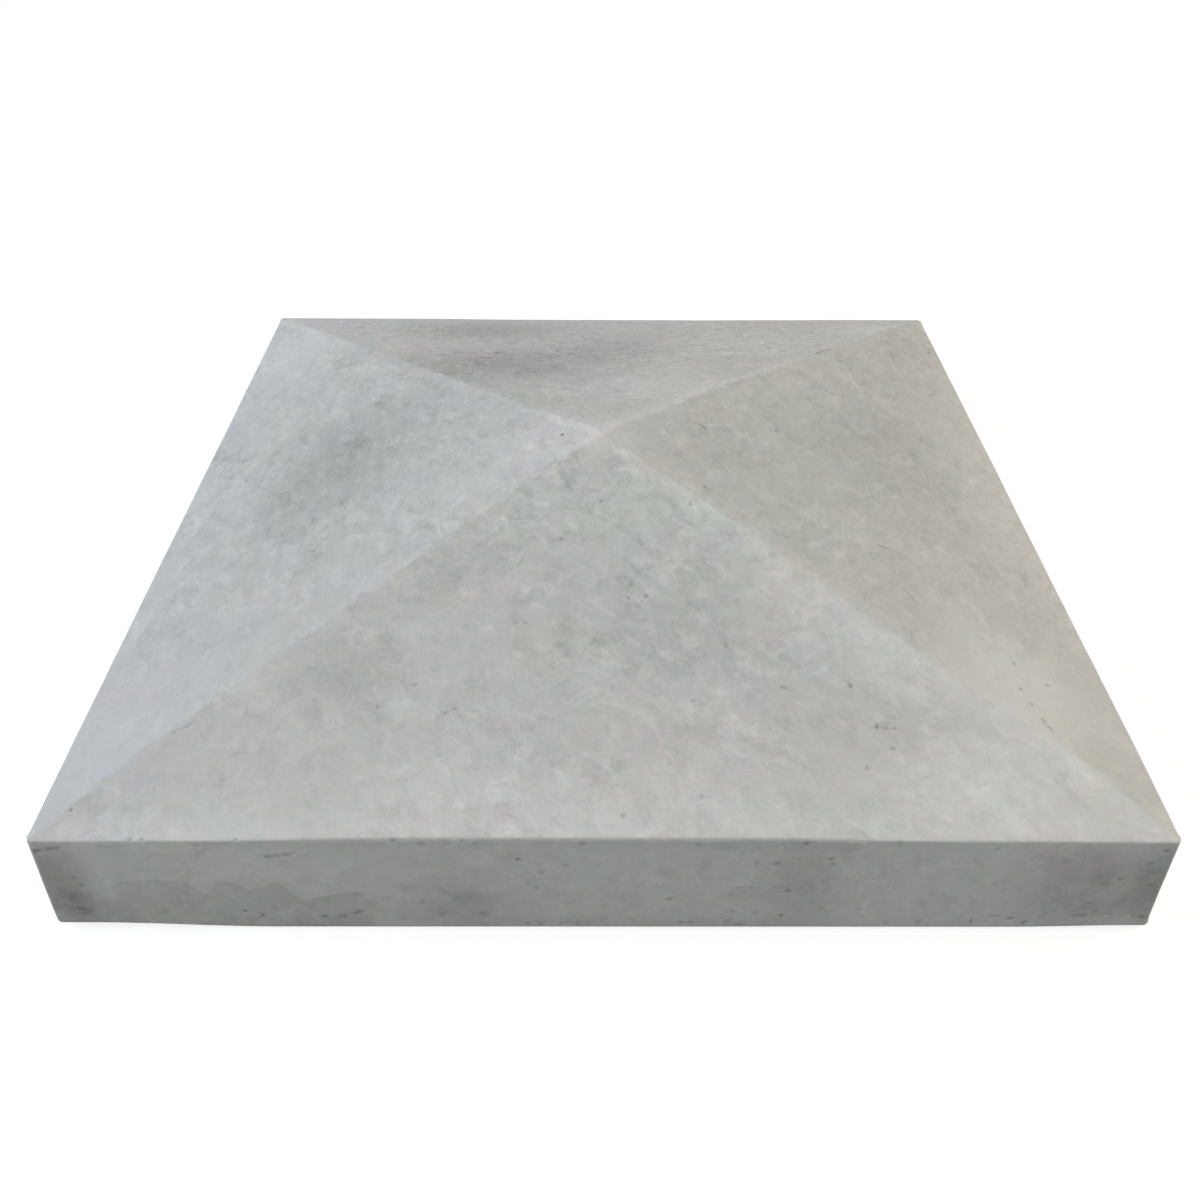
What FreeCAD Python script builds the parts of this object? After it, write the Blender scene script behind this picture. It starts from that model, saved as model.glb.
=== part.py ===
import FreeCAD, Part

import math
import os

# Square concrete pier cap, cast upside down in an open mould as one piece.
# Its top is weathered four ways: flat slopes fall from a blunted apex to a plain square edge,
# and meet along hips that start crisp at the corners and soften towards the apex.
# The sides lean outwards towards the foot, so that the cast slides out of its mould.
# A half-round drip groove runs round the underside, outside the pier,
# and throws rain clear of the brickwork.
# Frame: millimetres, +Z up, origin at the middle of the foot, sides square to X and Y.

# Driving dimensions, in millimetres and degrees
FOOT_WIDTH = 450.0  # across the foot, the widest part
EDGE_HEIGHT = 55.0  # foot to eaves
OVERALL_HEIGHT = 100.0  # foot to the flat on the apex
APEX_FLAT = 12.0  # across the small flat that blunts the apex
DRAFT_ANGLE = 3.0  # lean of each side from upright
CORNER_RADIUS = 2.0  # plan radius of the upright corners, and of the hips where they start
APEX_CORNER_RADIUS = 4.5  # plan radius of the hips where they reach the apex flat
EAVES_RADIUS = 1.2  # arris between the sides and the slopes
FOOT_RADIUS = 1.5  # arris round the foot
APEX_RADIUS = 20.0  # soft turn from the apex flat into the slopes
DRIP_RADIUS = 6.0  # half-round section of the drip groove
DRIP_INSET = 30.0  # foot edge to the middle of the drip groove
DRIP_CORNER_RADIUS = 14.0  # the groove's turn at each corner

UP = FreeCAD.Vector(0, 0, 1)


def point(x, y, z):
    return FreeCAD.Vector(x, y, z)


def rounded_square(width, radius, z):
    """A closed wire, square to X and Y about the Z axis: four sides and four quarter rounds."""
    half = width / 2
    straight = half - radius
    diagonal = straight + radius * math.sqrt(0.5)
    side = Part.LineSegment(point(-straight, -half, z), point(straight, -half, z)).toShape()
    turn = Part.Arc(
        point(straight, -half, z), point(diagonal, -diagonal, z), point(half, -straight, z)
    ).toShape()
    edges = []
    for quarter in range(4):
        for edge in (side, turn):
            copy = edge.copy()
            copy.rotate(point(0, 0, 0), UP, 90 * quarter)
            edges.append(copy)
    return Part.Wire(edges)


def tapered_block(lower, upper):
    """The solid between two rounded squares, with flat sides and corners that run straight up."""
    faces = [Part.Face(lower), Part.Face(upper)]
    for low, high in zip(lower.Edges, upper.Edges):
        if isinstance(low.Curve, Part.Line):
            corners = [low.firstVertex(), low.lastVertex(), high.lastVertex(), high.firstVertex()]
            outline = [corner.Point for corner in corners + corners[:1]]
            faces.append(Part.Face(Part.makePolygon(outline)))
        else:
            faces.append(Part.makeRuledSurface(low, high))
    shell = Part.makeShell(faces)
    shell.sewShape()
    return Part.makeSolid(shell)


def edges_at(shape, z):
    """The edges of a shape that lie flat at one height."""
    touch = 1e-4
    flat = []
    for edge in shape.Edges:
        box = edge.BoundBox
        if abs(box.ZMin - z) < touch and abs(box.ZMax - z) < touch:
            flat.append(edge)
    return flat


def cast_body():
    """The drafted edge and the weathered top, fused, its arrises rounded as a mould leaves them."""
    lean = EDGE_HEIGHT * math.tan(math.radians(DRAFT_ANGLE))
    eaves_width = FOOT_WIDTH - 2 * lean
    foot = rounded_square(FOOT_WIDTH, CORNER_RADIUS, 0)
    eaves = rounded_square(eaves_width, CORNER_RADIUS, EDGE_HEIGHT)
    apex = rounded_square(APEX_FLAT, APEX_CORNER_RADIUS, OVERALL_HEIGHT)
    body = tapered_block(foot, eaves).fuse(tapered_block(eaves, apex)).removeSplitter()
    rounds = (
        (OVERALL_HEIGHT, APEX_RADIUS),
        (EDGE_HEIGHT, EAVES_RADIUS),
        (0, FOOT_RADIUS),
    )
    for height, radius in rounds:
        body = body.makeFillet(radius, edges_at(body, height))
    return body


def drip_groove():
    """The rod-shaped ring that the drip former leaves, its middle line in the plane of the foot."""
    path = rounded_square(FOOT_WIDTH - 2 * DRIP_INSET, DRIP_CORNER_RADIUS, 0)
    start = path.Edges[0].valueAt(path.Edges[0].FirstParameter)
    along = path.Edges[0].tangentAt(path.Edges[0].FirstParameter)
    section = Part.Wire(Part.makeCircle(DRIP_RADIUS, start, along))
    return path.makePipeShell([section], True, True)


def pier_cap():
    """The whole cap, as one solid."""
    return cast_body().cut(drip_groove()).removeSplitter().Solids[0]


if __name__ == "__main__":
    os.makedirs("parts", exist_ok=True)
    cap = pier_cap()
    cap.exportStep("parts/pier_cap.step")
    print("pier_cap", cap.ShapeType, "valid", cap.isValid(), "litres", round(cap.Volume / 1e6, 3))
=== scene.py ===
import math
import random

import bmesh
import bpy
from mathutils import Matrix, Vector, bvhtree, kdtree, noise


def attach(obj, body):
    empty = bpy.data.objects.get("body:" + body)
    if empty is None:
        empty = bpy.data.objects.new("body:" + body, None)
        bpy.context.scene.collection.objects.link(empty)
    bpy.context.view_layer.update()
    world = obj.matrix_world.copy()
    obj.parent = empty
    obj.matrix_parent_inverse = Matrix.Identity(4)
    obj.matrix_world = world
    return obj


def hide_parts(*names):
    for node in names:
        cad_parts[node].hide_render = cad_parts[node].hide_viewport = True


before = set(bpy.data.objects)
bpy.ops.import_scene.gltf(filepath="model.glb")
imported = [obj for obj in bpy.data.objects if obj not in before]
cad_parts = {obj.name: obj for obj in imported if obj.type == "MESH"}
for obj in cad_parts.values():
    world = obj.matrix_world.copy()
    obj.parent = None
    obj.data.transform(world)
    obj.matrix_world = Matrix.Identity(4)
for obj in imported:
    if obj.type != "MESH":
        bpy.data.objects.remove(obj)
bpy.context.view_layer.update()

# Sizes of the cap in metres: the part's own, or a hair less where the skin has to stay inside the part.
# The rounds are as wide as the photo shows them.
FOOT = 0.4496  # across the foot, its widest part
EAVES = 0.4441  # across the top of the edge
EDGE = 0.055  # foot to eaves
PEAK = 0.10125  # height at which the four slopes would meet
ARRIS = 0.0011  # round on the eaves
CORNER = 0.0028  # round on the upright corners and the foot
DRIP = 0.006  # radius of the drip groove
DRIP_INSET = 0.030  # foot edge to the middle of the drip groove
DRIP_TURN = 0.014  # turn of the groove's middle line at each corner
DRIP_FLATS = 10  # flats round the half circle of the groove
DRIP_TURN_FLATS = 8  # flats round each of its corners
DRIP_SIDE_CUTS = 39  # cuts along each of its sides
CELLS = 22  # coarse cells from the middle of the cap to the eaves
CELL = EAVES / 2 / CELLS
LEVELS = 5  # coarse cells up the edge
FINE_CUTS = 3  # cuts across each coarse cell
MM = 0.001
TOUCH = 1e-5  # places closer than this count as one


# Selecting by place, in edit mode

def pick_points(cap, wanted):
    bpy.ops.mesh.select_mode(type="VERT")
    bpy.ops.mesh.select_all(action="DESELECT")
    skin = bmesh.from_edit_mesh(cap.data)
    for point in skin.verts:
        if wanted(point.co):
            point.select_set(True)
    bmesh.update_edit_mesh(cap.data)


def pick_edges(cap, wanted):
    bpy.ops.mesh.select_mode(type="EDGE")
    bpy.ops.mesh.select_all(action="DESELECT")
    skin = bmesh.from_edit_mesh(cap.data)
    for edge in skin.edges:
        if wanted(edge.verts[0].co, edge.verts[1].co):
            edge.select_set(True)
    bmesh.update_edit_mesh(cap.data)


def pick_faces(cap, wanted):
    bpy.ops.mesh.select_mode(type="FACE")
    bpy.ops.mesh.select_all(action="DESELECT")
    skin = bmesh.from_edit_mesh(cap.data)
    for face in skin.faces:
        if wanted(face.calc_center_median(), face.normal):
            face.select_set(True)
    bmesh.update_edit_mesh(cap.data)


def half_width(z):
    """Half the cap's width at a height on its leaning sides."""
    return FOOT / 2 + (EAVES - FOOT) / 2 * z / EDGE


def slope_height(x, y):
    """Height of the true slopes over a place in plan."""
    return PEAK - (PEAK - EDGE) * max(abs(x), abs(y)) / (EAVES / 2)


def out_from_axis(p):
    """How far out from the cap's axis a place lies, square to the side that it faces."""
    return max(abs(p.x), abs(p.y))


def off_hip(p):
    """How far a place lies from the nearest diagonal, along X or Y."""
    return abs(abs(p.x) - abs(p.y))


def on_corner_or_foot(a, b):
    """Whether an edge of the blank lies on an upright corner or on the foot."""
    if max(a.z, b.z) < TOUCH:
        reach = FOOT / 2 - TOUCH
        return min(abs(a.x), abs(b.x)) > reach or min(abs(a.y), abs(b.y)) > reach
    return all(p.z < EDGE + TOUCH and min(abs(p.x), abs(p.y)) > half_width(p.z) - TOUCH for p in (a, b))


def on_eaves(a, b):
    """Whether an edge lies on the eaves, round their corners too."""
    inner = EAVES / 2 - CORNER / 2
    return all(abs(p.z - EDGE) < TOUCH and out_from_axis(p) > inner for p in (a, b))


# The cast body

def cast_blank():
    """A block, its top drawn up to a low peak, cut into even cells, and its foot spread for the draft."""
    bpy.ops.object.select_all(action="DESELECT")
    bpy.ops.mesh.primitive_cube_add(size=EAVES, location=(0, 0, EDGE / 2))
    cap = bpy.context.object
    cap.name = "pier_cap_cast"
    cap.data.name = "pier_cap_cast"
    cap.scale.z = EDGE / EAVES
    bpy.ops.object.transform_apply(location=True, rotation=False, scale=True)
    bpy.ops.object.mode_set(mode="EDIT")
    pick_faces(cap, lambda middle, normal: normal.z > 0.9)
    bpy.ops.mesh.poke(offset=PEAK - EDGE)
    for step in range(1 - CELLS, CELLS):
        for across in ((1, 0, 0), (0, 1, 0)):
            pick_faces(cap, lambda middle, normal: normal.z > -0.5)
            bpy.ops.mesh.bisect(plane_co=Vector(across) * step * CELL, plane_no=across)
    pick_points(cap, lambda p: p.z < TOUCH)
    bpy.ops.transform.resize(value=(FOOT / EAVES, FOOT / EAVES, 1), center_override=(0, 0, 0))
    for level in range(1, LEVELS):
        pick_faces(cap, lambda middle, normal: abs(normal.z) < 0.5)
        bpy.ops.mesh.bisect(plane_co=(0, 0, EDGE * level / LEVELS), plane_no=(0, 0, 1))
    pick_faces(cap, lambda middle, normal: normal.z > -0.5)
    bpy.ops.mesh.subdivide(number_cuts=FINE_CUTS)
    return cap


# Passes that soften the hips: how far out from the apex each reaches and how far from the hip,
# in millimetres, and how often it is repeated
HIP_PASSES = ((200, 1.5, 1), (130, 2.8, 2), (70, 4.5, 2))
APEX_REACH = 19  # millimetres round the apex that are blunted
APEX_PASSES = 24


def round_arrises(cap):
    """Small rounds on corners, foot and eaves, and hips that start crisp and soften to a blunted apex."""
    for wanted, size, segments in ((on_corner_or_foot, CORNER, 4), (on_eaves, ARRIS, 3)):
        pick_edges(cap, wanted)
        bpy.ops.mesh.bevel(
            offset=size,
            offset_type="OFFSET",
            segments=segments,
            profile=0.5,
            affect="EDGES",
            clamp_overlap=True,
        )
    for end, band, repeat in HIP_PASSES:
        pick_points(cap, lambda p: p.z > EDGE and out_from_axis(p) < end * MM and off_hip(p) < band * MM)
        bpy.ops.mesh.vertices_smooth(factor=0.5, repeat=repeat)
    pick_points(cap, lambda p: p.z > EDGE and math.hypot(p.x, p.y) < APEX_REACH * MM)
    bpy.ops.mesh.vertices_smooth(factor=0.5, repeat=APEX_PASSES)


# Where the cast is out of true, in millimetres: from and to which place along X, how far up, and how softly
FOOT_LIFTS = ((-250, -207, 2.9, 75), (215, 250, 1.2, 50))  # at the front corners
FRONT_BOWS = ((-75, 55, 2.0, 85), (-250, -216, -1.2, 60), (216, 250, -0.6, 60))  # of the front eaves
BACK_BOWS = ((0, 40, -0.5, 150),)  # of the back eaves
APEX_SHIFT = (-1.2, 0, 0)
APEX_SHIFT_REACH = 200
ARRIS_BAND = 3  # how far in from a side its foot and eaves are taken hold of
HIP_BAND = 1.3  # how far from a diagonal a hip is taken hold of

# Hips that stray from the diagonals: the sides of X and Y that each is on, from and to which place along it,
# by how much, all in millimetres, and how softly
STRAYED_HIPS = (
    (-1, -1, 135, 182, (-2.1, 2.1, 0.2), 40),
    (-1, -1, 40, 110, (-1.2, 1.2, 0.1), 35),
    (-1, -1, 192, 206, (-0.9, 0.9, 0.1), 16),
    (1, -1, 175, 192, (2.5, 2.5, 0.2), 30),
    (1, -1, 196, 207, (1.3, 1.3, 0.1), 15),
    (1, -1, 40, 150, (1.2, 1.2, 0.1), 30),
    (1, 1, 60, 140, (-2.5, 2.5, -0.3), 40),
    (1, 1, 165, 185, (-1.6, 1.6, -0.1), 35),
    (1, 1, 190, 206, (-0.9, 0.9, 0.0), 16),
)


def nudge(cap, wanted, move, reach):
    """Moves points by so many millimetres, and softly all that lies within reach of them."""
    pick_points(cap, wanted)
    bpy.ops.transform.translate(
        value=Vector(move) * MM,
        use_proportional_edit=True,
        proportional_edit_falloff="SMOOTH",
        proportional_size=reach * MM,
    )


def set_out_of_true(cap):
    """The foot lifts at two corners, the eaves bow by a millimetre or two, and the apex and hips stray."""
    foot = half_width(0) - ARRIS_BAND * MM
    brow = EAVES / 2 - ARRIS_BAND * MM
    for start, end, rise, reach in FOOT_LIFTS:
        nudge(
            cap,
            lambda p: p.z < 2 * MM and p.y < -foot and start * MM < p.x < end * MM,
            (0, 0, rise),
            reach,
        )
    pick_points(cap, lambda p: p.z < EDGE / 3)
    bpy.ops.mesh.hide()
    for side, bows in ((-1, FRONT_BOWS), (1, BACK_BOWS)):
        for start, end, rise, reach in bows:
            nudge(
                cap,
                lambda p: abs(p.z - EDGE) < MM and p.y * side > brow and start * MM < p.x < end * MM,
                (0, 0, rise),
                reach,
            )
    nudge(cap, lambda p: p.z > EDGE and math.hypot(p.x, p.y) < 2 * MM, APEX_SHIFT, APEX_SHIFT_REACH)
    for side_x, side_y, start, end, move, reach in STRAYED_HIPS:
        nudge(
            cap,
            lambda p: p.z > EDGE
            and start * MM < p.x * side_x < end * MM
            and abs(p.x * side_x - p.y * side_y) < HIP_BAND * MM,
            move,
            reach,
        )
    bpy.ops.mesh.reveal(select=False)


CAST_WAVES = (("slow_waves", 70, 0.5), ("small_hollows", 13, 0.14))  # breadth and depth in millimetres
TRUE_FOOT = 4  # height in millimetres up to which the foot stays true


def cast_skin(cap):
    """The slight unevenness of a hand-filled cast, worked inwards from the true faces."""
    bpy.ops.object.mode_set(mode="OBJECT")
    uneven = [vertex.index for vertex in cap.data.vertices if vertex.co.z > TRUE_FOOT * MM]
    cap.vertex_groups.new(name="cast_faces").add(uneven, 1.0, "REPLACE")
    for name, breadth, depth in CAST_WAVES:
        pattern = bpy.data.textures.new(name, "CLOUDS")
        pattern.noise_scale = breadth * MM
        pattern.noise_depth = 1
        press = cap.modifiers.new(name, "DISPLACE")
        press.texture = pattern
        press.texture_coords = "LOCAL"
        press.mid_level = 1.0
        press.strength = depth * MM
        press.vertex_group = "cast_faces"
        bpy.ops.object.modifier_apply(modifier=name)
    cap.vertex_groups.clear()
    bpy.ops.object.mode_set(mode="EDIT")


# Blowholes, dashes and nicks, in millimetres, darkened with painted shade in their hollows. Each kind has its
# reach, its depth, how dark it is from 0 to 1, and places. A place with two numbers is a spot, and one with
# more is a scratch through its points.
# On the slopes the numbers are x and y, on the front edge x and z.

SLOPE_MARKS = (
    (0.8, 0.8, 0.90, ((-21, 3),)),
    (0.7, 0.6, 0.75, ((-217, 35.5),)),
    (0.6, 0.3, 0.50, ((-208, -209),)),
    (1.0, 0.3, 0.42, ((112, -172), (50, -35), (19, -105), (216, 172))),
    (0.9, 0.2, 0.32, (
        (181, -157), (179, -148), (181, -132), (193, -143), (54, 23), (95, 32), (42, -50), (-20, -72),
    )),
    (0.9, 0.2, 0.32, ((-1, -48), (105, -191), (117, -182), (12, -99), (11, -106))),
    (0.9, 0.1, 0.15, ((-35, -120), (-39, -120))),
    (0.9, 0.2, 0.25, (
        (53, -132), (37, -160), (-62, -164), (-66, -166), (-94, -163), (-80, -152), (7, -212), (38, -204),
    )),
    (0.8, 0.2, 0.36, ((183.1, -165.1, 183.1, -169.1, 185.7, -172.0), (103.4, -149.6, 104.2, -152.6))),
    (0.8, 0.2, 0.32, ((201.1, 111, 205.4, 112.6), (112.5, -172.1, 119.4, -172.8))),
    (1.1, 0.2, 0.25, ((52.6, 25.2, 55.3, 19.1), (75.3, -153.1, 78.5, -154.6))),
    (1.2, 0.3, 0.36, ((134.8, 139.5, 140, 146, 144.1, 148.4),)),
    (0.8, 0.2, 0.16, ((-176.5, -174.9, -169.9, -171),)),
    (1.0, 0.2, 0.36, (
        (95.2, -48.1, 96.8, -49.8), (112.7, -62.7, 114.6, -63.4), (134, -59.2, 136.8, -60.4),
    )),
    (0.8, 0.2, 0.26, (
        (137, -60.4, 143.3, -60.4), (139.9, -90.8, 143.6, -99.9), (155.7, -25, 156.2, -28.4), (87, -66.1),
    )),
    (1.0, 0.1, 0.16, ((-152, -196.4, -149.5, -195.3), (-121, -159.7))),
)

EDGE_MARKS = (
    (1.3, 0.25, 0.45, (
        (-219.6, 48.5, -214.6, 49.3, -209.1, 50.6), (-131.3, 45.1, -126.7, 45.8, -120.5, 47.1),
    )),
    (1.3, 0.25, 0.45, ((-214.6, 13.7, -211.7, 13, -207.9, 11.7), (-211.5, 10.1, -209.9, 9.5))),
    (1.1, 0.35, 0.45, (
        (-145.9, 11.3), (-139.1, 8.4), (-114, 7.9), (-107.5, 7.7), (-105.8, 7.9), (-101.1, 10.3),
        (-99.4, 10.6),
    )),
    (1.1, 0.35, 0.45, (
        (-33.9, 43.9), (26, 18.7), (72.2, 8.3), (67.6, 41.1), (73.3, 24.4), (77.2, 53.3), (88.2, 44.2),
    )),
    (1.1, 0.35, 0.42, ((166.2, 6.9), (172.4, 3.8), (220, 7.7), (204.4, 32), (216.8, 49))),
    (1.0, 0.2, 0.38, (
        (-36, 3.7, -31, 3.9), (-18, 3.7, -13, 4), (52, 3.1, 57.5, 3), (-118.5, 1.9, -115.5, 2),
        (30.5, 3.9, 36, 4),
    )),
    (1.0, 0.2, 0.34, (
        (192, 8.4, 196, 8.9), (157.5, 8.5, 161, 8.2), (204.5, 9.6, 207.5, 9.2), (150.6, 3, 150.6, 6),
    )),
    (1.3, 0.15, 0.24, (
        (-27.5, 26.9), (-25.2, 36.1), (-15, 40.3), (-70.5, 53.3), (-73.5, 17.1), (-8.9, 53.4),
        (-25.7, 3.9),
    )),
    (1.3, 0.15, 0.24, (
        (-10.9, 3.9), (52, 11.2), (61.5, 10.4), (49.9, 3.9), (59.2, 41.9), (36, 52.5), (-66, 8.4),
        (-49.1, 9.6),
    )),
    (1.3, 0.15, 0.24, (
        (89.1, 41.4), (87.6, 12.9), (103.8, 12.9), (115.7, 3.9), (128.8, 4.9), (199.9, 11.6),
        (212.8, 41.1),
    )),
    (1.3, 0.15, 0.24, ((151.3, 50.6), (113.2, 53), (-207.3, 28.2), (-178.1, 11.3), (-209.3, 32.6))),
    (1.8, 0.1, 0.13, (
        (-180.8, 9.6), (-166.4, 15.5), (-133.5, 13.5), (-122, 16.8), (-118.7, 14.6), (-82.1, 6.7),
        (-156.7, 47.3),
    )),
    (1.8, 0.1, 0.13, (
        (-99.4, 22.9), (84.4, 17.9), (128.2, 17), (131.3, 22.8), (179.2, 42.6), (200.3, 28.4),
        (93.6, 44.9),
    )),
    (0.9, 0.1, 0.26, (
        (52.4, 26.4, 62.1, 26.4), (66.2, 26.4, 72.4, 26.4), (73.7, 44.5, 76.2, 44.2),
        (155.1, 29.1, 158.9, 30.5),
    )),
    (1.0, 0.1, 0.20, ((-194.2, 51.5, -190.4, 51.1, -182.8, 51.8), (-157.6, 51.8, -145.7, 52.6))),
)

# Nicks in the front eaves: their places along X, and their reach, depth, breadth and darkness
EAVES_NICKS = (-181.6, -176.9, -141.2, -81.3, -54.7)
NICK = (1.0, 0.4, 0.8, 0.25)
NICK_INSET = 0.4  # how far behind the eaves a nick has its middle

# Marks scattered over each of the hidden sides: reach, depth, how dark, and how many
HIDDEN_MARKS = ((1.1, 0.35, 0.45, 12), (1.3, 0.15, 0.24, 22), (1.8, 0.1, 0.13, 12))
HIDDEN_LENGTH = 215  # how far from the middle of a side they lie
HIDDEN_LOW = 3  # the lowest that they lie
HIDDEN_RISE = 47  # how far above that they reach, few of them high up

SCRATCH_STEP = 0.5  # distance between the points of a scratch


def scratch_points(numbers):
    """Points along a scratch, or the one point of a spot."""
    ends = [Vector((numbers[i], numbers[i + 1])) for i in range(0, len(numbers), 2)]
    points = [ends[0]]
    for a, b in zip(ends, ends[1:]):
        steps = max(1, round((b - a).length / SCRATCH_STEP))
        points += [a.lerp(b, step / steps) for step in range(1, steps + 1)]
    return points


def on_slope(point):
    x, y = point * MM
    return Vector((x, y, slope_height(x, y)))


def on_edge(point, turn=0):
    """A place on the front edge, or on another side that many quarter turns round."""
    x, z = point * MM
    place = Vector((x, -half_width(z), z))
    for quarter in range(turn):
        place = Vector((-place.y, place.x, place.z))
    return place


def ragged_spot(scatter, spot, reach, dark):
    """A spot as a few that overlap, so that it isn't round."""
    parts = [(spot, reach, dark)]
    for each in range(3):
        turn = scatter.uniform(0, math.tau)
        far = reach * scatter.uniform(0.5, 1.2)
        breadth = reach * scatter.uniform(0.35, 0.8)
        shade = dark * scatter.uniform(0.4, 0.9)
        parts.append((spot + Vector((math.cos(turn), math.sin(turn))) * far, breadth, shade))
    return parts


def ragged_scratch(scatter, spots, reach, dark):
    """A scratch that wanders, and swells and fades along its length."""
    start = scatter.uniform(0, 100)
    parts = []
    for step, spot in enumerate(spots):
        swell, sway, fade = (noise.noise((start + 0.22 * step, way, 0.5)) for way in (0.5, 3.5, 6.5))
        breadth = reach * (0.75 + 0.7 * swell)
        shade = dark * min(1.0, max(0.1, 0.75 + 1.1 * fade))
        parts.append((spot + Vector((0, 0.4 * sway)), breadth, shade))
    return parts


def ragged_mark(scatter, spots, reach, dark):
    if len(spots) > 1:
        return ragged_scratch(scatter, spots, reach, dark)
    return ragged_spot(scatter, spots[0], reach, dark)


def find_marks(cap):
    """All marks by kind: reach, depth, and points on the skin with their own breadth and darkness."""
    scatter = random.Random(5)
    kinds = []
    for table, onto in ((SLOPE_MARKS, on_slope), (EDGE_MARKS, on_edge)):
        for reach, depth, dark, places in table:
            parts = []
            for numbers in places:
                for spot, breadth, shade in ragged_mark(scatter, scratch_points(numbers), reach, dark):
                    parts.append((onto(spot), breadth, shade))
            kinds.append((reach, depth, parts))
    reach, depth, breadth, dark = NICK
    nicks = [Vector((x, NICK_INSET - EAVES / MM / 2, EDGE / MM)) * MM for x in EAVES_NICKS]
    kinds.append((reach, depth, [(nick, breadth, dark) for nick in nicks]))
    for turn in (1, 2, 3):
        for reach, depth, dark, count in HIDDEN_MARKS:
            parts = []
            for each in range(count):
                along = scatter.uniform(-HIDDEN_LENGTH, HIDDEN_LENGTH)
                spot = Vector((along, HIDDEN_LOW + HIDDEN_RISE * scatter.random() ** 1.7))
                for part, breadth, shade in ragged_spot(scatter, spot, reach, dark):
                    parts.append((on_edge(part, turn), breadth, shade))
            kinds.append((reach, depth, parts))
    skin = bvhtree.BVHTree.FromBMesh(bmesh.from_edit_mesh(cap.data))
    marks = []
    for reach, depth, parts in kinds:
        points = [(skin.find_nearest(place)[0], breadth, shade) for place, breadth, shade in parts]
        marks.append((reach, depth, points))
    return marks


def tree_of(places):
    """A tree that finds which of many places lie near another."""
    tree = kdtree.KDTree(len(places))
    for index, place in enumerate(places):
        tree.insert(place, index)
    tree.balance()
    return tree


# Finer cells round the marks: how near to one, in millimetres, and how many cuts
FINER_CELLS = ((3.4, 2), (1.6, 1))
TIDE_CLEARANCE = 2.4  # the cells along the tide are made finer only beyond this distance from a mark


def press_marks(cap, marks):
    """Finer cells round every mark and along the front tide, then the marks themselves pressed in."""
    tree = tree_of([spot for reach, depth, points in marks for spot, breadth, dark in points])
    for reach, cuts in FINER_CELLS:
        pick_faces(cap, lambda middle, normal: tree.find(middle)[2] < reach * MM)
        bpy.ops.mesh.subdivide(number_cuts=cuts)
    pick_faces(
        cap,
        lambda middle, normal: normal.y < -0.5
        and tree.find(middle)[2] > TIDE_CLEARANCE * MM
        and near_tide(middle),
    )
    bpy.ops.mesh.subdivide(number_cuts=1)
    for reach, depth, points in marks:
        skin = bmesh.from_edit_mesh(cap.data)
        skin.verts.ensure_lookup_table()
        tree = tree_of([point.co for point in skin.verts])
        bottoms = {tree.find(spot)[1] for spot, breadth, dark in points}
        bpy.ops.mesh.select_mode(type="VERT")
        bpy.ops.mesh.select_all(action="DESELECT")
        for index in bottoms:
            skin.verts[index].select_set(True)
        bmesh.update_edit_mesh(cap.data)
        bpy.ops.transform.shrink_fatten(
            value=-depth * MM,
            use_proportional_edit=True,
            proportional_edit_falloff="SPHERE",
            proportional_size=reach * MM,
        )


def drip_underside(cap):
    """A flat underside with a half-round groove round it, joined to the foot."""
    pick_faces(cap, lambda middle, normal: normal.z < -0.9 and out_from_axis(middle) < FOOT / 4)
    bpy.ops.mesh.delete(type="FACE")
    bpy.ops.mesh.select_all(action="DESELECT")
    bpy.ops.mesh.primitive_plane_add(size=FOOT - 2 * (DRIP_INSET - DRIP), location=(0, 0, 0))
    bpy.ops.mesh.flip_normals()
    bpy.ops.mesh.bevel(
        offset=DRIP_TURN + DRIP,
        offset_type="OFFSET",
        segments=DRIP_TURN_FLATS,
        affect="VERTICES",
    )
    pick_edges(cap, lambda a, b: (a - b).length > FOOT / 2)
    bpy.ops.mesh.subdivide(number_cuts=DRIP_SIDE_CUTS)
    pick_faces(cap, lambda middle, normal: normal.z < -0.9 and middle.length < MM)
    for step in range(1, DRIP_FLATS + 1):
        before, after = (math.pi * flat / DRIP_FLATS for flat in (step - 1, step))
        inward = DRIP * (math.cos(before) - math.cos(after))
        rise = DRIP * (math.sin(after) - math.sin(before))
        bpy.ops.mesh.inset(thickness=inward, depth=-rise, use_even_offset=True)
    bpy.ops.mesh.select_mode(type="EDGE")
    bpy.ops.mesh.select_all(action="DESELECT")
    bpy.ops.mesh.select_non_manifold()
    bpy.ops.mesh.bridge_edge_loops()
    bpy.ops.mesh.select_all(action="SELECT")
    bpy.ops.mesh.normals_make_consistent(inside=False)


# Tone of the dried concrete, in small steps: lighter and darker patches, some of them painted light and
# shade, damp tides on the sides, and the marks

def soft(distance, reach):
    """1 in the middle of a patch, falling smoothly to 0 at its edge."""
    near = max(0.0, 1 - distance / reach)
    return near * near * (3 - 2 * near)


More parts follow.
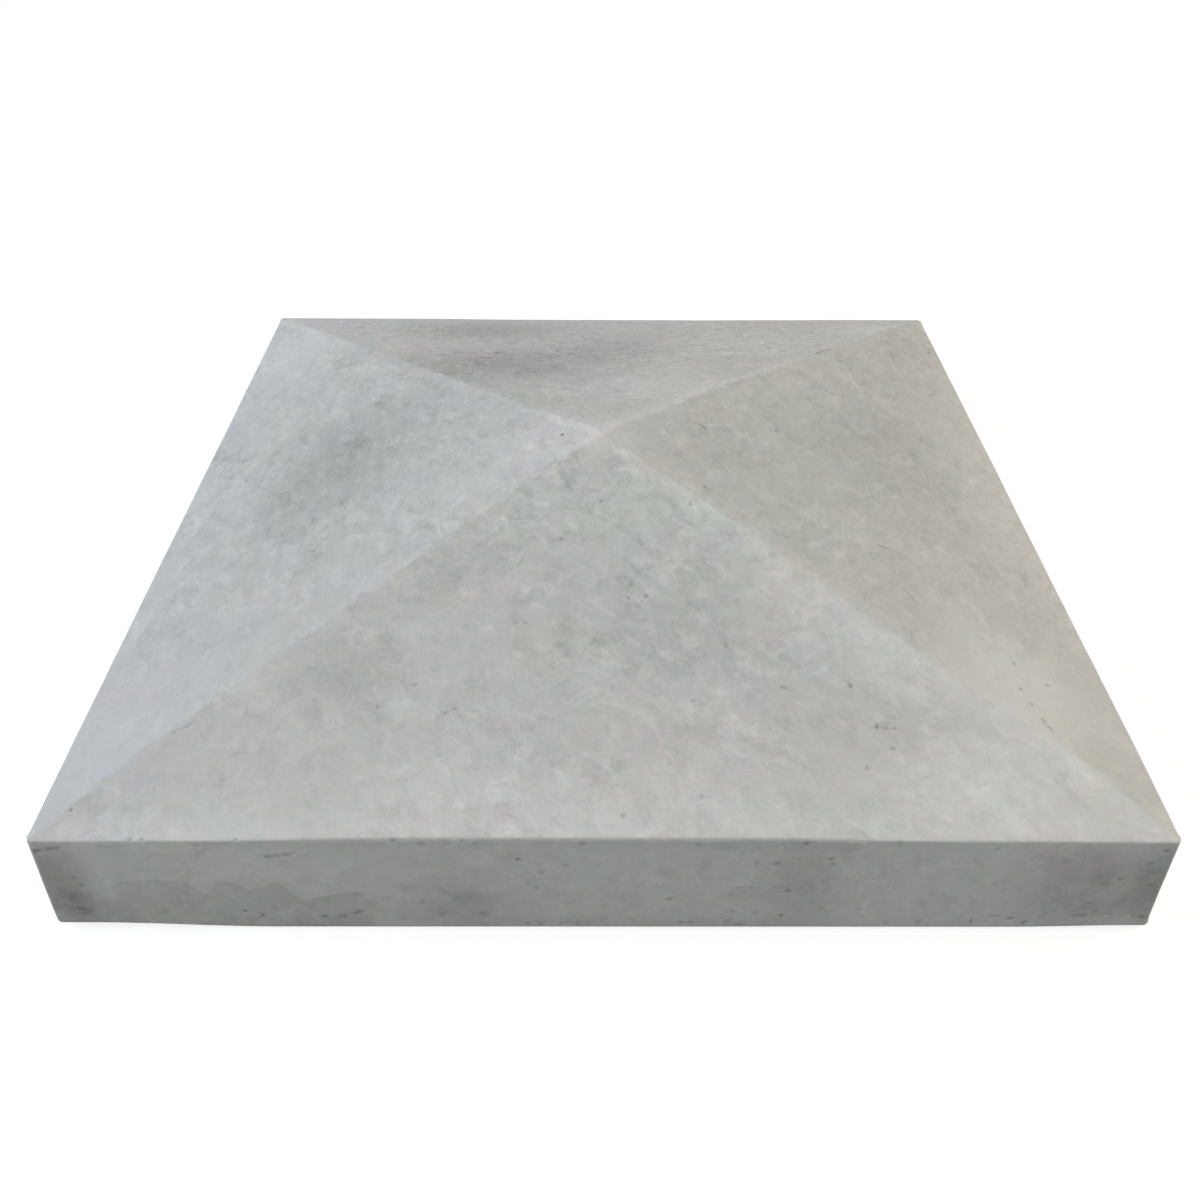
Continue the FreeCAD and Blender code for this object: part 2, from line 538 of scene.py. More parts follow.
# Patches of tone: x and y of the middle in millimetres, half its length and breadth, its turn in degrees,
# and the steps by which it is lighter or darker. On the front edge z stands in for y. Slopes and sides are
# counted from the front one, anticlockwise from above.
SLOPE_CLOUDS = (
    (
        (-110, -145, 45, 30, 0, -12),  # dark patch by the left hip
        (-65, -95, 60, 20, 45, -8),  # shade that runs up from it
        (20, -115, 75, 55, 0, -6),  # damp middle
        (0, -205, 210, 28, 0, 6),  # pale band above the eaves
        (-50, -200, 60, 20, 0, 6),  # paler still on the left
        (150, -200, 85, 35, 0, 15),  # and towards the right corner
        (110, -130, 110, 22, -45, 10),  # pale strip along the right hip
    ),
    # The right slope: painted light that grows towards its front corner and eaves, and painted shade towards
    # the apex
    (
        (180, -150, 75, 45, -60, 20),  # painted light, stronger towards the front corner
        (150, 35, 65, 70, 0, -8),  # painted shade over the middle
        (65, 0, 40, 35, 0, -6),  # painted shade by the apex
        (205, 0, 28, 200, 0, 8),  # pale strip along the eaves
        (170, -80, 35, 50, 0, 6),  # pale middle of the front half
    ),
    (
        (-60, 115, 95, 58, 0, -25),  # large dark patch
        (-80, 190, 90, 38, 0, -20),  # the same, down to the eaves
        (5, 150, 60, 50, 0, -14),  # and to the right
        (115, 165, 70, 40, 0, 8),  # pale right half
        (185, 195, 50, 30, 0, 12),  # paler in the corner
        (40, 70, 60, 40, 0, 8),  # pale by the apex
        (75, 140, 65, 5, 0, 8),  # pale streak
    ),
    (
        (-135, 25, 115, 62, 60, -12),  # grey band down the middle
        (-150, -10, 60, 110, 0, -8),  # the damp round it
        (-65, -30, 80, 28, 50, 6),  # pale strip along the front hip
        (-200, 165, 50, 60, 0, 10),  # pale back corner
        (-205, -170, 40, 45, 0, 4),  # pale front corner
        (-25, 0, 40, 40, 0, 10),  # pale by the apex
    ),
)
EDGE_CLOUDS = (
    (-216, 30, 20, 42, 0, -32),  # dark left end
    (-205, 10, 26, 20, 0, -20),  # darker foot beside it
    (-58, 15, 42, 28, 0, -14),  # brown patch left of the middle
    (78, 30, 26, 44, 0, -14),  # dark patch right of the middle
    (190, 28, 38, 48, 0, -22),  # dark towards the right end
    (219, 28, 18, 42, 0, -32),  # dark right end
    (0, 3, 240, 9, 0, -8),  # shade along the foot
    (0, 55, 240, 8, 0, -6),  # shade below the eaves
    (-125, 41, 60, 20, 0, 4),  # pale above the tide
    (-66, 11, 8, 4, 0, -9),  # small smudges from here on
    (-54, 20, 9, 8, 0, -8),
    (-49, 10, 5, 4, 0, -8),
    (-47, 52, 6, 4, 0, -6),
    (38, 40, 7, 9, 0, -9),
    (46, 52, 9, 4, 0, -9),
    (61, 50, 6, 6, 0, -5),
    (94, 50, 7, 6, 0, -7),
    (198, 14, 15, 9, 0, -9),
    (197, 34, 7, 9, 0, -7),
    (172, 41, 10, 8, 0, -6),
    (221, 8, 6, 6, 0, -8),
)

# Patches greener, or where the number is below 0 pinker, on the slopes and on the front edge, and bluer ones
GREEN_CLOUDS = (
    (0, -60, 80, 50, 0, 2),  # below the apex in front
    (-85, -150, 55, 35, 0, 0.6),  # the dark patch by the left hip
    (-60, -200, 30, 15, 0, 1),
    (30, -185, 60, 35, 0, -1),
    (120, 15, 60, 80, 0, 1.2),  # middle of the right slope
    (195, -70, 35, 70, 0, -0.5),
    (-80, 150, 80, 70, 0, -1.4),  # the large dark patch at the back
    (130, 170, 80, 50, 0, 0.5),
    (-110, 0, 110, 120, 0, 0.4),  # the left slope
    (-200, -140, 30, 60, 0, -0.8),
)
EDGE_GREEN_CLOUDS = (
    (80, 24, 110, 70, 0, -0.7),  # right half
    (190, 30, 50, 60, 0, -0.5),  # right end
    (-190, 25, 90, 70, 0, 1.0),  # left end
    (0, 27, 240, 90, 0, 0.4),  # all of it
    (-58, 14, 40, 26, 0, -0.8),  # the brown patch left of the middle
)
BLUE_CLOUDS = (
    # The four on the left slope are painted light, the cool cast of the light from that side
    (-214, 70, 24, 75, 0, 0.9),  # left slope, eaves at the back
    (-206, -60, 34, 130, 0, 0.5),  # left slope, eaves towards the front
    (-205, -150, 40, 70, 0, 0.3),  # left slope, front corner
    (-205, 180, 50, 60, 0, 0.3),  # left slope, back corner
    (200, -40, 26, 90, 0, 0.35),  # right slope, eaves
    (120, -150, 50, 30, -45, 0.3),  # front slope, by the right hip
    (185, 140, 34, 55, 0, 0.25),  # right slope, back corner
    (172, -110, 26, 44, 0, 0.2),  # right slope, front half
    (206, -155, 26, 55, 0, 0.3),  # right slope, front corner
    (150, 20, 85, 125, 0, 0.14),  # right slope, middle
)
EDGE_BLUE_CLOUDS = ((70, 27, 190, 90, 0, 0.45), (-60, 27, 200, 90, 0, 0.3))

# Places worked rougher, or where the number is below 0 smoother, than the slope round them
ROUGH_CLOUDS = (
    (-45, 130, 50, 60, 0, 0.3),  # back slope, middle
    (100, 150, 50, 60, 0, 0.25),  # back slope, right half
    (-195, 120, 60, 110, 0, -0.35),  # left slope, back half
    (-185, -175, 70, 50, 0, -0.25),  # front left corner
    (180, -175, 60, 50, 0, -0.15),  # front right corner
    (195, 60, 50, 120, 0, -0.15),  # right slope, eaves
    (60, -175, 60, 30, 0, 0.2),  # front slope, right half
    (-35, -200, 60, 30, 0, 0.15),  # front slope, eaves
    (-140, 160, 50, 40, 0, -0.25),  # back left corner
    (60, 0, 50, 50, 0, 0.15),  # right slope, by the apex
    (-120, 0, 50, 60, 0, 0.15),  # left slope, middle
)
SLOPE_WORK = (1.08, 0.8, 0.9, 0.93)  # how strongly each slope was rubbed down
EDGE_WORK = 0.65  # the same on the sides


def cloud(x, y, patch):
    """How far a place, in millimetres, takes on a patch's tone."""
    middle_x, middle_y, length, breadth, turn, steps = patch
    cosine, sine = math.cos(math.radians(turn)), math.sin(math.radians(turn))
    dx, dy = x - middle_x, y - middle_y
    along = (dx * cosine + dy * sine) / length
    across = (dy * cosine - dx * sine) / breadth
    return steps * soft(math.hypot(along, across), 1.0)


def total(patches, x, y):
    return sum(cloud(x, y, patch) for patch in patches)


def worked_at(x, y, turn):
    """How strongly a place on a slope shows the rubbing down, about 1 at the back and less in front."""
    drift = 0.66 + 0.3 * min(1.0, max(0.0, (y + 190) / 150)) + 0.2 * soft(abs(y - 150), 150)
    return SLOPE_WORK[turn] * drift + total(ROUGH_CLOUDS, x, y)


# Painted highlights along the hips, and darker bands beside some of them. A hip is 1 in front and 2 at the
# back, below 0 on the left, and the slope beside it is painted: how far from the hip, in millimetres, and the
# steps of tone at distances out from the apex.
HIP_HIGHLIGHTS_AND_DARK_BANDS = {
    (1, 0): (14, ((0, 4), (50, 14), (100, 6), (180, 16), (226, 8))),
    (1, 1): (14, ((0, 0), (60, 6), (226, 6))),
    (-1, 0): (20, ((0, 2), (110, -6), (150, 4), (226, -8))),
    (-1, 3): (14, ((0, 8), (100, 3), (226, 0))),
    (-2, 2): (20, ((0, 6), (70, -7), (170, -3), (226, 10))),
    (-2, 3): (10, ((0, 16), (60, 0), (120, -5), (226, 12))),
    (2, 2): (16, ((0, 12), (120, 12), (145, -2), (226, 6))),
}

# Painted shade up from the foot and in from the hidden sides' ends, paler bands in from the eaves, and a
# painted
# highlight at the apex: the steps of tone and how far they reach, in millimetres
FOOT_SHADE = (-3, 9)  # every side, up from the foot
END_SHADE = (-6, 36)  # the hidden sides, in from their ends
PALER_EAVES = ((9, 18), (8, 18), (0, 18), (1, 18))  # each slope, paler in from the eaves
# painted highlight round the apex
APEX_HIGHLIGHT = (8, 26)
FRONT_TONE = 1.5  # all over the front edge

# Damp tides: how high each stands along a side, in millimetres, and how dark it is there
TIDES = (
    (
        (-198, 28, 0), (-193, 30.2, 0.9), (-178.5, 31.3, 1.1), (-166.4, 30.8, 1.1), (-163.2, 26.9, 1.1),
        (-159.8, 21.2, 1.1), (-156.1, 26.9, 1), (-151.6, 31.1, 1), (-145.4, 29.5, 1), (-142.1, 25.2, 1),
        (-136.8, 26.5, 1), (-130, 29.8, 1), (-125, 23.4, 1.1), (-120.8, 17.5, 1.1), (-115.2, 20.4, 1.1),
        (-107.7, 22.4, 1.2), (-101.3, 23.8, 1.2), (-95.8, 23, 1), (-92, 18, 0),
    ),
    (
        (30, 10, 0), (66, 17, 0.6), (90, 14, 0.8), (118, 19, 1), (150, 24, 0.9), (170, 22, 0.7),
        (200, 26, 0.6), (218, 24, 0.3),
    ),
    (
        (-140, 8, 0), (-128, 10, 0.6), (-96, 15, 0.8), (-60, 13, 0.9), (-38, 18, 0.8), (-5, 12, 0.6),
        (12, 8, 0),
    ),
    (
        (70, 8, 0), (84, 14, 0.6), (110, 20, 0.9), (140, 18, 0.9), (176, 27, 0.7), (205, 25, 0.5),
        (218, 22, 0.2),
    ),
)
NO_TIDE = (-20.0, 0.0)
TIDE_BAND = 4  # how near to its line a tide has finer cells


def read_off(rows, x):
    """What a table says at a place between two of its rows, or nothing beyond its ends."""
    for low, high in zip(rows, rows[1:]):
        if low[0] <= x <= high[0]:
            share = (x - low[0]) / (high[0] - low[0])
            return [a + (b - a) * share for a, b in zip(low[1:], high[1:])]
    return None


def tide_at(turn, x):
    """Height of a side's damp tide at a place along it, in millimetres, and how dark it is there."""
    return read_off(TIDES[turn], x) or NO_TIDE


def near_tide(p):
    """Whether a place on the front edge is close to where its tide stops."""
    return abs(tide_at(0, p.x / MM)[0] - p.z / MM) < TIDE_BAND


def which_side(p):
    """The side that a point faces, in quarter turns from the front, and its place along that side."""
    if -p.y >= abs(p.x):
        return 0, p.x
    if p.x >= abs(p.y):
        return 1, p.y
    if p.y >= abs(p.x):
        return 2, -p.x
    return 3, -p.y


HIP_DOUBT = 8  # millimetres from a diagonal within which a point may lie on either slope
APEX_DOUBT = 12  # millimetres from the axis within which its place decides all the same


def slope_of(p, normal):
    """The slope that a point lies on: by its place, or close to a hip by the way it faces."""
    close = off_hip(p) < HIP_DOUBT * MM and out_from_axis(p) > APEX_DOUBT * MM
    return which_side(normal if close else p)[0]


def fading_steps(kind, distance):
    steps, reach = kind
    return steps * soft(distance, reach)


def paint_side(turn, along, z):
    """Tone, green and blue at a place on an upright side, in millimetres."""
    tone = fading_steps(FOOT_SHADE, z)
    if turn > 0:
        return tone + fading_steps(END_SHADE, half_width(z * MM) / MM - abs(along)), 0.0, 0.0
    tone += FRONT_TONE + total(EDGE_CLOUDS, along, z)
    return tone, total(EDGE_GREEN_CLOUDS, along, z), total(EDGE_BLUE_CLOUDS, along, z)


def paint_slope(turn, x, y):
    """Tone, green and blue at a place on a slope, in millimetres."""
    out = max(abs(x), abs(y))
    tone = total(SLOPE_CLOUDS[turn], x, y) + fading_steps(PALER_EAVES[turn], EAVES / 2 / MM - out)
    hip = (1 if x > 0 else -1) * (2 if y > 0 else 1)
    # painted highlights along a hip, and darker bands beside it
    if (hip, turn) in HIP_HIGHLIGHTS_AND_DARK_BANDS:
        reach, steps = HIP_HIGHLIGHTS_AND_DARK_BANDS[hip, turn]
        tone += read_off(steps, out)[0] * soft(abs(abs(x) - abs(y)) / math.sqrt(2), reach)
    # painted highlight round the apex
    tone += fading_steps(APEX_HIGHLIGHT, math.hypot(x, y))
    return tone, total(GREEN_CLOUDS, x, y), total(BLUE_CLOUDS, x, y)


MARK_REACH = 2.8  # millimetres beyond which no mark darkens the skin
EDGE_FULLNESS = 1.1  # how full the marks are on the sides
SLOPE_FULLNESS = 1.7  # and on the slopes


def hole_at(p, tree, spots, strength):
    """How dark the painted shade of the marks makes a place, from 0 to 1."""
    hole = 0.0
    for place, index, distance in tree.find_range(p, MARK_REACH * MM):
        breadth, dark = spots[index][1:]
        hole = max(hole, dark * min(1.0, strength * soft(distance / MM, 1.5 * breadth)))
    return hole


def paint(cap, marks):
    """Tone with its painted light and shade, tint, tide and marks, kept on the skin for the finish to read.
    """
    spots = [spot for reach, depth, points in marks for spot in points]
    tree = tree_of([place for place, breadth, dark in spots])
    layers = {name: [] for name in ("tone_and_painted_light", "green", "blue", "tide", "damp", "rough", "holes")}
    for vertex in cap.data.vertices:
        p = vertex.co
        turn, along = which_side(p)
        x, y, z, along = p.x / MM, p.y / MM, p.z / MM, along / MM
        upright = z < EDGE / MM - 0.3 and abs(vertex.normal.z) < 0.6
        tone = green = blue = 0.0
        tide, damp = NO_TIDE
        if upright:
            tide, damp = tide_at(turn, along)
            tide -= z
            tone, green, blue = paint_side(turn, along, z)
        elif z > 50:
            turn = slope_of(p, vertex.normal)
            tone, green, blue = paint_slope(turn, x, y)
        rough = EDGE_WORK if upright else worked_at(x, y, turn) + 0.25 * noise.noise(p / 0.045)
        hole = hole_at(p, tree, spots, EDGE_FULLNESS if upright else SLOPE_FULLNESS)
        for values, value in zip(layers.values(), (tone, green, blue, tide, damp, rough, hole)):
            values.append(value)
    for name, values in layers.items():
        cap.data.attributes.new(name, "FLOAT", "POINT").data.foreach_set("value", values)


# Directions in plan, in degrees, in which each slope was rubbed down, how far that drew the flecks out,
# and how fine they are
STROKES = ((138, 1.2, 1.0), (80, 1.3, 1.15), (10, 1.1, 1.6), (103, 1.5, 1.0))


def lay_strokes(cap):
    """Places along and across the strokes, kept on the skin so that the flecks follow them."""
    lay = []
    points = cap.data.vertices
    for face in cap.data.polygons:
        turn = slope_of(face.center, face.normal)
        angle, drawn, fine = STROKES[turn]
        cosine, sine = math.cos(math.radians(angle)), math.sin(math.radians(angle))
        for index in face.vertices:
            p = points[index].co
            if abs(face.normal.z) < 0.6:
                lay += (p.x + p.y, p.z, turn)
            else:
                along = (p.x * cosine + p.y * sine) * fine / drawn
                across = (p.y * cosine - p.x * sine) * fine
                lay += (along, across, 0.5 + turn)
    cap.data.attributes.new("strokes", "FLOAT_VECTOR", "CORNER").data.foreach_set("vector", lay)


def pier_cap_cast():
    cap = cast_blank()
    round_arrises(cap)
    set_out_of_true(cap)
    cast_skin(cap)
    marks = find_marks(cap)
    press_marks(cap, marks)
    drip_underside(cap)
    bpy.ops.object.mode_set(mode="OBJECT")
    bpy.ops.object.shade_smooth_by_angle(angle=math.radians(40))
    paint(cap, marks)
    lay_strokes(cap)
    return cap


# The finish

STEP = 0.00835  # one small step of tone, about the least that the eye can tell
DARKEST = (0.130, 0.138, 0.133, 1)  # concrete at tone 0
PALEST = (0.810, 0.810, 0.789, 1)  # concrete at tone 1
# painted shade inside the marks and pinholes
SHADE_IN_A_HOLE = (0.035, 0.036, 0.034, 1)
GREENER = (0.951, 1.014, 0.992, 1)  # this and the next five tint the concrete
PINKER = (1.023, 0.962, 0.984, 1)
COOLER = (0.989, 0.995, 1.0, 1)
BUFF = (1.0, 0.998, 0.964, 1)
PLAIN = (1, 1, 1, 1)
BLUER = (0.950, 0.968, 1.004, 1)
FLECK = 8  # breadth in millimetres of the widest flecks


def cast_concrete():
    """Pale grey concrete: cloudy where it dried slowly and with painted light and shade, mottled by sand and
    fines, and pricked with pinholes of painted shade.
    """
    finish = bpy.data.materials.new("cast_concrete")
    finish.use_nodes = True
    nodes, links = finish.node_tree.nodes, finish.node_tree.links
    shader = nodes["Principled BSDF"]
    place = nodes.new("ShaderNodeTexCoord").outputs["Object"]

    def join(source, socket):
        if isinstance(source, (int, float, tuple)):
            socket.default_value = source
        else:
            links.new(source, socket)

    def sum_of(kind, first, second, third=0.0):
        node = nodes.new("ShaderNodeMath")
        node.operation = kind
        for socket, source in zip(node.inputs, (first, second, third)):
            join(source, socket)
        return node.outputs[0]

    def noise_on(vector, scale, octaves, evenness=0.5, twist=0.0):
        """Noise about half, over places that a vector gives."""
        node = nodes.new("ShaderNodeTexNoise")
        node.inputs["Scale"].default_value = scale
        node.inputs["Detail"].default_value = octaves - 1
        node.inputs["Roughness"].default_value = evenness
        node.inputs["Distortion"].default_value = twist
        links.new(vector, node.inputs["Vector"])
        return node.outputs["Fac"]

    def mottle(breadth, octaves, evenness, twist=0.0, shift=0.0):
        """Noise whose widest patches are so many millimetres across."""
        moved = nodes.new("ShaderNodeMapping")
        moved.inputs["Location"].default_value = (shift, shift * 0.7, shift * 1.3)
        links.new(place, moved.inputs["Vector"])
        return noise_on(moved.outputs[0], 1 / (breadth * MM), octaves, evenness, twist)

    def ramp(value, low, high, at_low, at_high):
        node = nodes.new("ShaderNodeMapRange")
        node.interpolation_type = "SMOOTHSTEP"
        join(value, node.inputs["Value"])
        numbers = {"From Min": low, "From Max": high, "To Min": at_low, "To Max": at_high}
        for name, number in numbers.items():
            node.inputs[name].default_value = number
        return node.outputs[0]

    def pinholes(spacing, radius, strength):
        """Round specks cut by the surface at all sizes up to a radius, so many millimetres apart."""
        node = nodes.new("ShaderNodeTexVoronoi")
        node.inputs["Scale"].default_value = 1 / (spacing * MM)
        links.new(place, node.inputs["Vector"])
        return ramp(node.outputs["Distance"], 0.4 * radius / spacing, radius / spacing, strength, 0.0)

    def painted(name):
        node = nodes.new("ShaderNodeAttribute")
        node.attribute_name = name
        return node.outputs["Fac"]

    def shades(value, low, high, first, second):
        """Colours that run from the first at the low value to the second at the high one."""
        node = nodes.new("ShaderNodeValToRGB")
        start, end = node.color_ramp.elements
        start.position = low
        end.position = high
        start.color = first
        end.color = second
        links.new(value, node.inputs["Fac"])
        return node.outputs["Color"]

    def mix(kind, factor, under, over):
        node = nodes.new("ShaderNodeMix")
        node.data_type = "RGBA"
        node.blend_type = kind
        for name, source in (("Factor", factor), ("A", under), ("B", over)):
            join(source, node.inputs[name])
        return node.outputs["Result"]

    facing = nodes.new("ShaderNodeSeparateXYZ")
    links.new(nodes.new("ShaderNodeNewGeometry").outputs["Normal"], facing.inputs[0])
    open_top = ramp(facing.outputs["Z"], 0.2, 0.7, 0.85, 1.0)

    # Flecks and dabs drawn out along the strokes
    strokes = nodes.new("ShaderNodeAttribute")
    strokes.attribute_name = "strokes"
    drawn = nodes.new("ShaderNodeMapping")
    drawn.inputs["Scale"].default_value = (1 / (FLECK * MM), 1 / (FLECK * MM), 1.0)
    links.new(strokes.outputs["Vector"], drawn.inputs["Vector"])
    worked = sum_of("SUBTRACT", noise_on(drawn.outputs[0], 1.0, 5, 0.76, 0.5), 0.5)
    worked = sum_of("MULTIPLY", worked, ramp(mottle(13, 2, 0.6, 0.3, 2.2), 0.36, 0.64, 0.55, 1.45))
    dab = noise_on(drawn.outputs[0], 1.3, 3)
    dabs = sum_of("ADD", ramp(dab, 0.57, 0.64, 0.0, 3.5), ramp(dab, 0.36, 0.42, -3.0, 0.0))
    dabs = sum_of("MULTIPLY", dabs, painted("rough"))
    dabs = sum_of("MULTIPLY", dabs, ramp(facing.outputs["Y"], -0.2, 0.2, 0.9, 0.2))

    # Tone: the painted drift with its painted light and shade, the tide, then mottles of every breadth
    wander = sum_of("MULTIPLY_ADD", mottle(6, 2, 0.6, 0, 3.1), 1.2, -0.6)
    tide = ramp(sum_of("ADD", painted("tide"), wander), -0.4, 0.4, 0.0, -11.0)
    tide = sum_of("MULTIPLY", tide, painted("damp"))
    smudges = ramp(mottle(16, 3, 0.7, 0.6, 1.9), 0.56, 0.74, 0.0, -7.0)
    smudges = sum_of("MULTIPLY", smudges, ramp(facing.outputs["Z"], 0.2, 0.7, 1.0, 0.1))
    steps = sum_of("ADD", sum_of("ADD", painted("tone_and_painted_light"), tide), sum_of("ADD", smudges, dabs))
    tone = sum_of("MULTIPLY_ADD", steps, STEP, 0.5)
    cloudy = sum_of("SUBTRACT", mottle(70, 3, 1.0), 0.5)
    rough = sum_of("MULTIPLY", worked, painted("rough"))
    mottled = sum_of("MULTIPLY_ADD", rough, 0.58, sum_of("MULTIPLY", cloudy, 0.09))
    tone = sum_of("MULTIPLY_ADD", mottled, open_top, tone)
    grit = sum_of("MULTIPLY", sum_of("SUBTRACT", mottle(1.5, 2, 0.7, 0, 5.3), 0.5), painted("rough"))
    tone = sum_of("MULTIPLY_ADD", grit, 0.08, tone)
    # small pinholes darkened a few steps with painted shade
    tone = sum_of("SUBTRACT", tone, pinholes(4.5, 0.30, 4 * STEP))
    coloured = shades(tone, 0.0, 1.0, DARKEST, PALEST)

    # Tint: patches a shade greener or pinker, cooler or more buff, and bluer than the rest; the bluer ones on
    # the left slope are painted light
    freckle = sum_of("SUBTRACT", mottle(40, 6, 0.85, 0.4, 7.7), 0.5)
    freckle = sum_of("MULTIPLY", freckle, ramp(facing.outputs["Y"], -0.2, 0.2, 1.3, 0.45))
    greener = sum_of("ADD", sum_of("MULTIPLY_ADD", painted("green"), -0.14, 0.5), freckle)
    for tint in (
        shades(greener, 0.2, 0.8, GREENER, PINKER),
        shades(mottle(40, 4, 0.85, 0.0, 9.2), 0.36, 0.64, COOLER, BUFF),
        shades(painted("blue"), 0.0, 1.0, PLAIN, BLUER),
    ):
        coloured = mix("MULTIPLY", 1.0, coloured, tint)

    # Dark marks: the painted ones and a scatter of pinholes, darkened with the painted shade of a hollow
    holes = sum_of("MAXIMUM", painted("holes"), pinholes(12, 0.5, 0.22))
    links.new(mix("MIX", holes, coloured, SHADE_IN_A_HOLE), shader.inputs["Base Color"])

    # Surface: the flecks as fine relief, coarser on the floated underside
    coarse = ramp(facing.outputs["Z"], -0.8, -0.4, 3.0, 1.0)
    relief = nodes.new("ShaderNodeBump")
    relief.inputs["Strength"].default_value = 0.5
    relief.inputs["Distance"].default_value = 0.8 * MM
    links.new(sum_of("MULTIPLY", rough, coarse), relief.inputs["Height"])
    links.new(relief.outputs["Normal"], shader.inputs["Normal"])
    links.new(ramp(worked, -0.2, 0.2, 0.80, 0.93), shader.inputs["Roughness"])
    shader.inputs["Specular IOR Level"].default_value = 0.3
    return finish


cap = pier_cap_cast()
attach(cap, "root")
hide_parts("pier_cap")
cap.data.materials.append(cast_concrete())


# The studio

PAPER_GREY = (0.35, 0.35, 0.35, 1)  # what the paper throws back onto the cap
PAPER_SHADE = (0.3, 0.3, 0.3, 1)  # the part of its white that the cap's shadow can take away
PAPER_GLOW = 0.8  # the part that it can't
SHADOW_FADE = (0.35, 0.75)  # metres from the middle between which the shadow fades out
FLOOR_DROP = 0.0002  # how far below the foot the paper lies
ROOM_COLOUR = (1.0, 0.973, 1.0, 1)
ROOM_LIGHT = 0.37

# Lamps: place in metres, strength and colour
LAMPS = {
    "lamp_left": ((-1.3, 0, 0.9), 0.763, (0.756, 0.845, 1.0)),
    "lamp_right": ((1.3, 0, 0.9), 0.44, (1.0, 0.842, 0.565)),
    "lamp_front": ((0, -1.5, 0.9), 0.195, (0.90, 0.955, 0.95)),
    "lamp_back": ((0, 1.5, 0.9), 0.06, (1.0, 1.0, 1.0)),
}
LAMP_WIDTH = 1.2
LAMP_AIM = (0, 0, 0.05)

# The camera, as it stood to the cap in the photo: in millimetres, metres and degrees
LENS = 32.4745
SENSOR = 36
CAMERA_PLACE = (-0.004205, -0.477179, 0.393039)
CAMERA_TURN = (49.61984, -0.26618, -0.14016)


def seen_by_eye(nodes, links):
    """1 for what the camera sees, straight, in a gloss or through glass, and 0 for light on the cap."""
    path = nodes.new("ShaderNodeLightPath")
    seen = path.outputs["Is Camera Ray"]
    for name in ("Is Glossy Ray", "Is Transmission Ray"):
        either = nodes.new("ShaderNodeMath")
        either.operation = "MAXIMUM"
        links.new(seen, either.inputs[0])
        links.new(path.outputs[name], either.inputs[1])
        seen = either.outputs[0]
    return seen


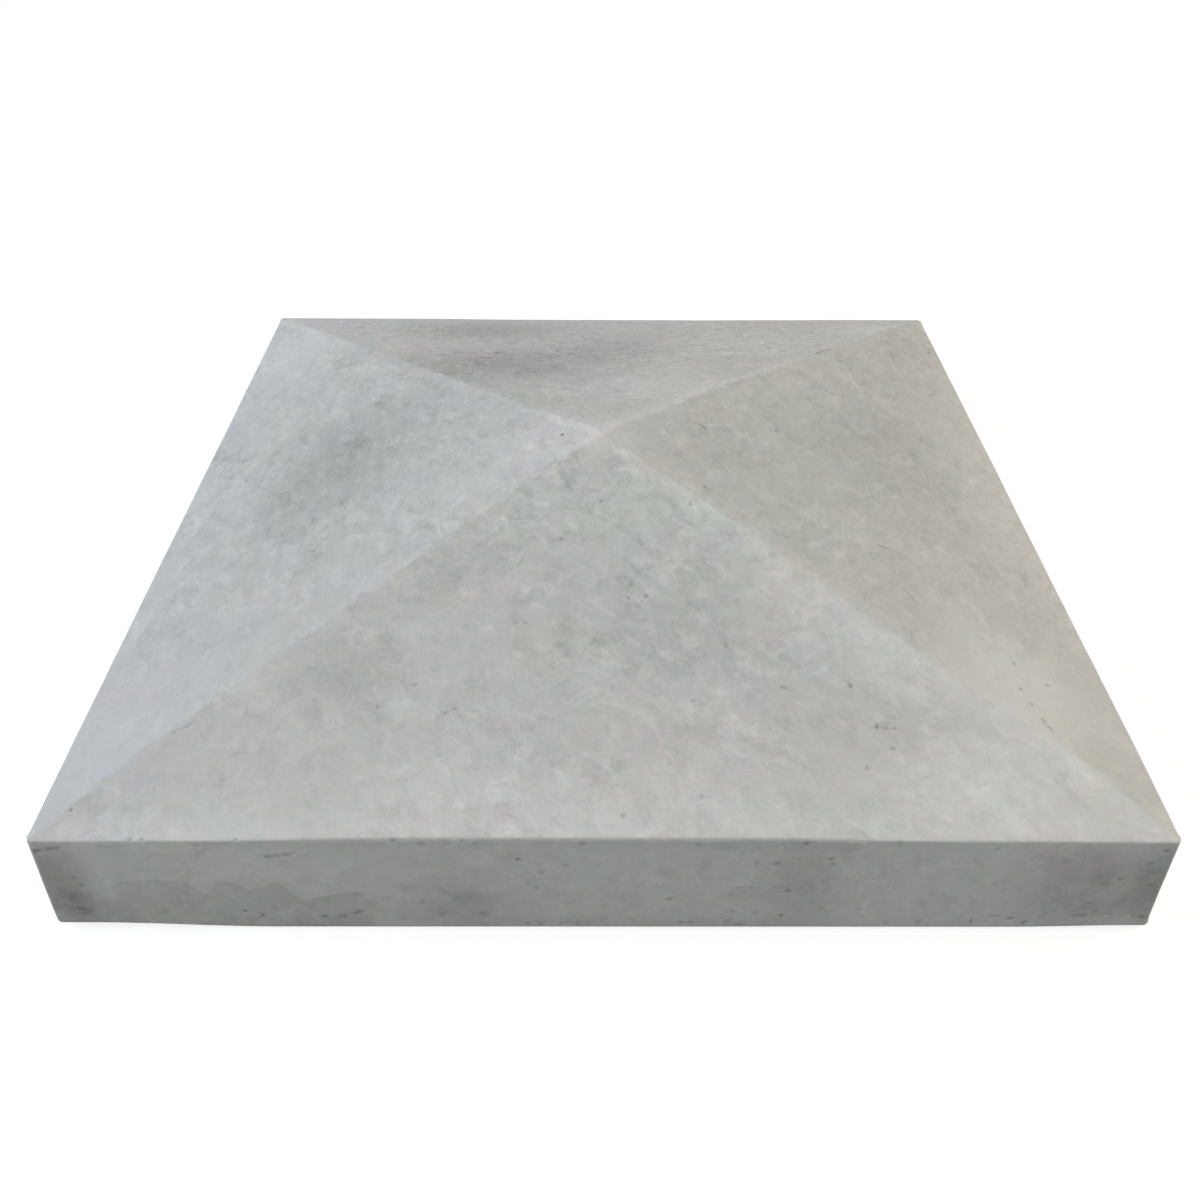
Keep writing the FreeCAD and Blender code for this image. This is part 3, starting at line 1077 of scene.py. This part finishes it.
def floor_paper():
    """White paper to the eye, with the cap's soft shadow on it, and greyer where it lights the cap."""
    paper = bpy.data.materials.new("floor_paper")
    paper.use_nodes = True
    nodes, links = paper.node_tree.nodes, paper.node_tree.links
    nodes.clear()
    out = nodes.new("ShaderNodeOutputMaterial")
    grey = nodes.new("ShaderNodeBsdfDiffuse")
    grey.inputs["Color"].default_value = PAPER_GREY
    white = nodes.new("ShaderNodeBsdfDiffuse")
    white.inputs["Color"].default_value = PAPER_SHADE
    glow = nodes.new("ShaderNodeEmission")
    glow.inputs["Strength"].default_value = PAPER_GLOW
    shown = nodes.new("ShaderNodeAddShader")
    links.new(glow.outputs[0], shown.inputs[0])
    links.new(white.outputs[0], shown.inputs[1])
    reach = nodes.new("ShaderNodeVectorMath")
    reach.operation = "LENGTH"
    links.new(nodes.new("ShaderNodeTexCoord").outputs["Object"], reach.inputs[0])
    beyond = nodes.new("ShaderNodeMapRange")
    beyond.interpolation_type = "SMOOTHSTEP"
    beyond.inputs["From Min"].default_value = SHADOW_FADE[0]
    beyond.inputs["From Max"].default_value = SHADOW_FADE[1]
    links.new(reach.outputs["Value"], beyond.inputs["Value"])
    far = nodes.new("ShaderNodeEmission")
    fade = nodes.new("ShaderNodeMixShader")
    links.new(beyond.outputs[0], fade.inputs[0])
    links.new(shown.outputs[0], fade.inputs[1])
    links.new(far.outputs[0], fade.inputs[2])
    split = nodes.new("ShaderNodeMixShader")
    links.new(seen_by_eye(nodes, links), split.inputs[0])
    links.new(grey.outputs[0], split.inputs[1])
    links.new(fade.outputs[0], split.inputs[2])
    links.new(split.outputs[0], out.inputs["Surface"])
    return paper


bpy.ops.object.select_all(action="DESELECT")
bpy.ops.mesh.primitive_plane_add(size=12, location=(0, 0, -FLOOR_DROP))
floor = bpy.context.object
floor.name = "floor"
floor.data.materials.append(floor_paper())


def soft_lamp(name, place, strength, colour):
    """A large square lamp that faces the cap and lights it with its strength at any distance."""
    data = bpy.data.lights.new(name, "AREA")
    data.size = LAMP_WIDTH
    data.energy = strength * math.pi ** 2 * Vector(place).length_squared
    data.color = colour
    lamp = bpy.data.objects.new(name, data)
    bpy.context.scene.collection.objects.link(lamp)
    lamp.location = place
    lamp.rotation_euler = (Vector(LAMP_AIM) - Vector(place)).to_track_quat("-Z", "Y").to_euler()


for name, (place, strength, colour) in LAMPS.items():
    soft_lamp(name, place, strength, colour)

camera_data = bpy.data.cameras.new("camera")
camera_data.lens = LENS
camera_data.sensor_width = SENSOR
camera_data.clip_start = 0.01
camera = bpy.data.objects.new("camera", camera_data)
bpy.context.scene.collection.objects.link(camera)
camera.location = CAMERA_PLACE
camera.rotation_euler = [math.radians(angle) for angle in CAMERA_TURN]
bpy.context.scene.camera = camera


def studio_room():
    """Weak light from all round the cap, and plain white to the eye."""
    world = bpy.data.worlds.new("studio")
    world.use_nodes = True
    nodes, links = world.node_tree.nodes, world.node_tree.links
    nodes.clear()
    room = nodes.new("ShaderNodeBackground")
    room.inputs["Color"].default_value = ROOM_COLOUR
    room.inputs["Strength"].default_value = ROOM_LIGHT
    backdrop = nodes.new("ShaderNodeBackground")
    backdrop.inputs["Color"].default_value = (1, 1, 1, 1)
    backdrop.inputs["Strength"].default_value = 1.0
    split = nodes.new("ShaderNodeMixShader")
    links.new(seen_by_eye(nodes, links), split.inputs[0])
    links.new(room.outputs[0], split.inputs[1])
    links.new(backdrop.outputs[0], split.inputs[2])
    links.new(split.outputs[0], nodes.new("ShaderNodeOutputWorld").inputs["Surface"])
    return world


bpy.context.scene.world = studio_room()
bpy.context.scene.view_settings.view_transform = "Standard"
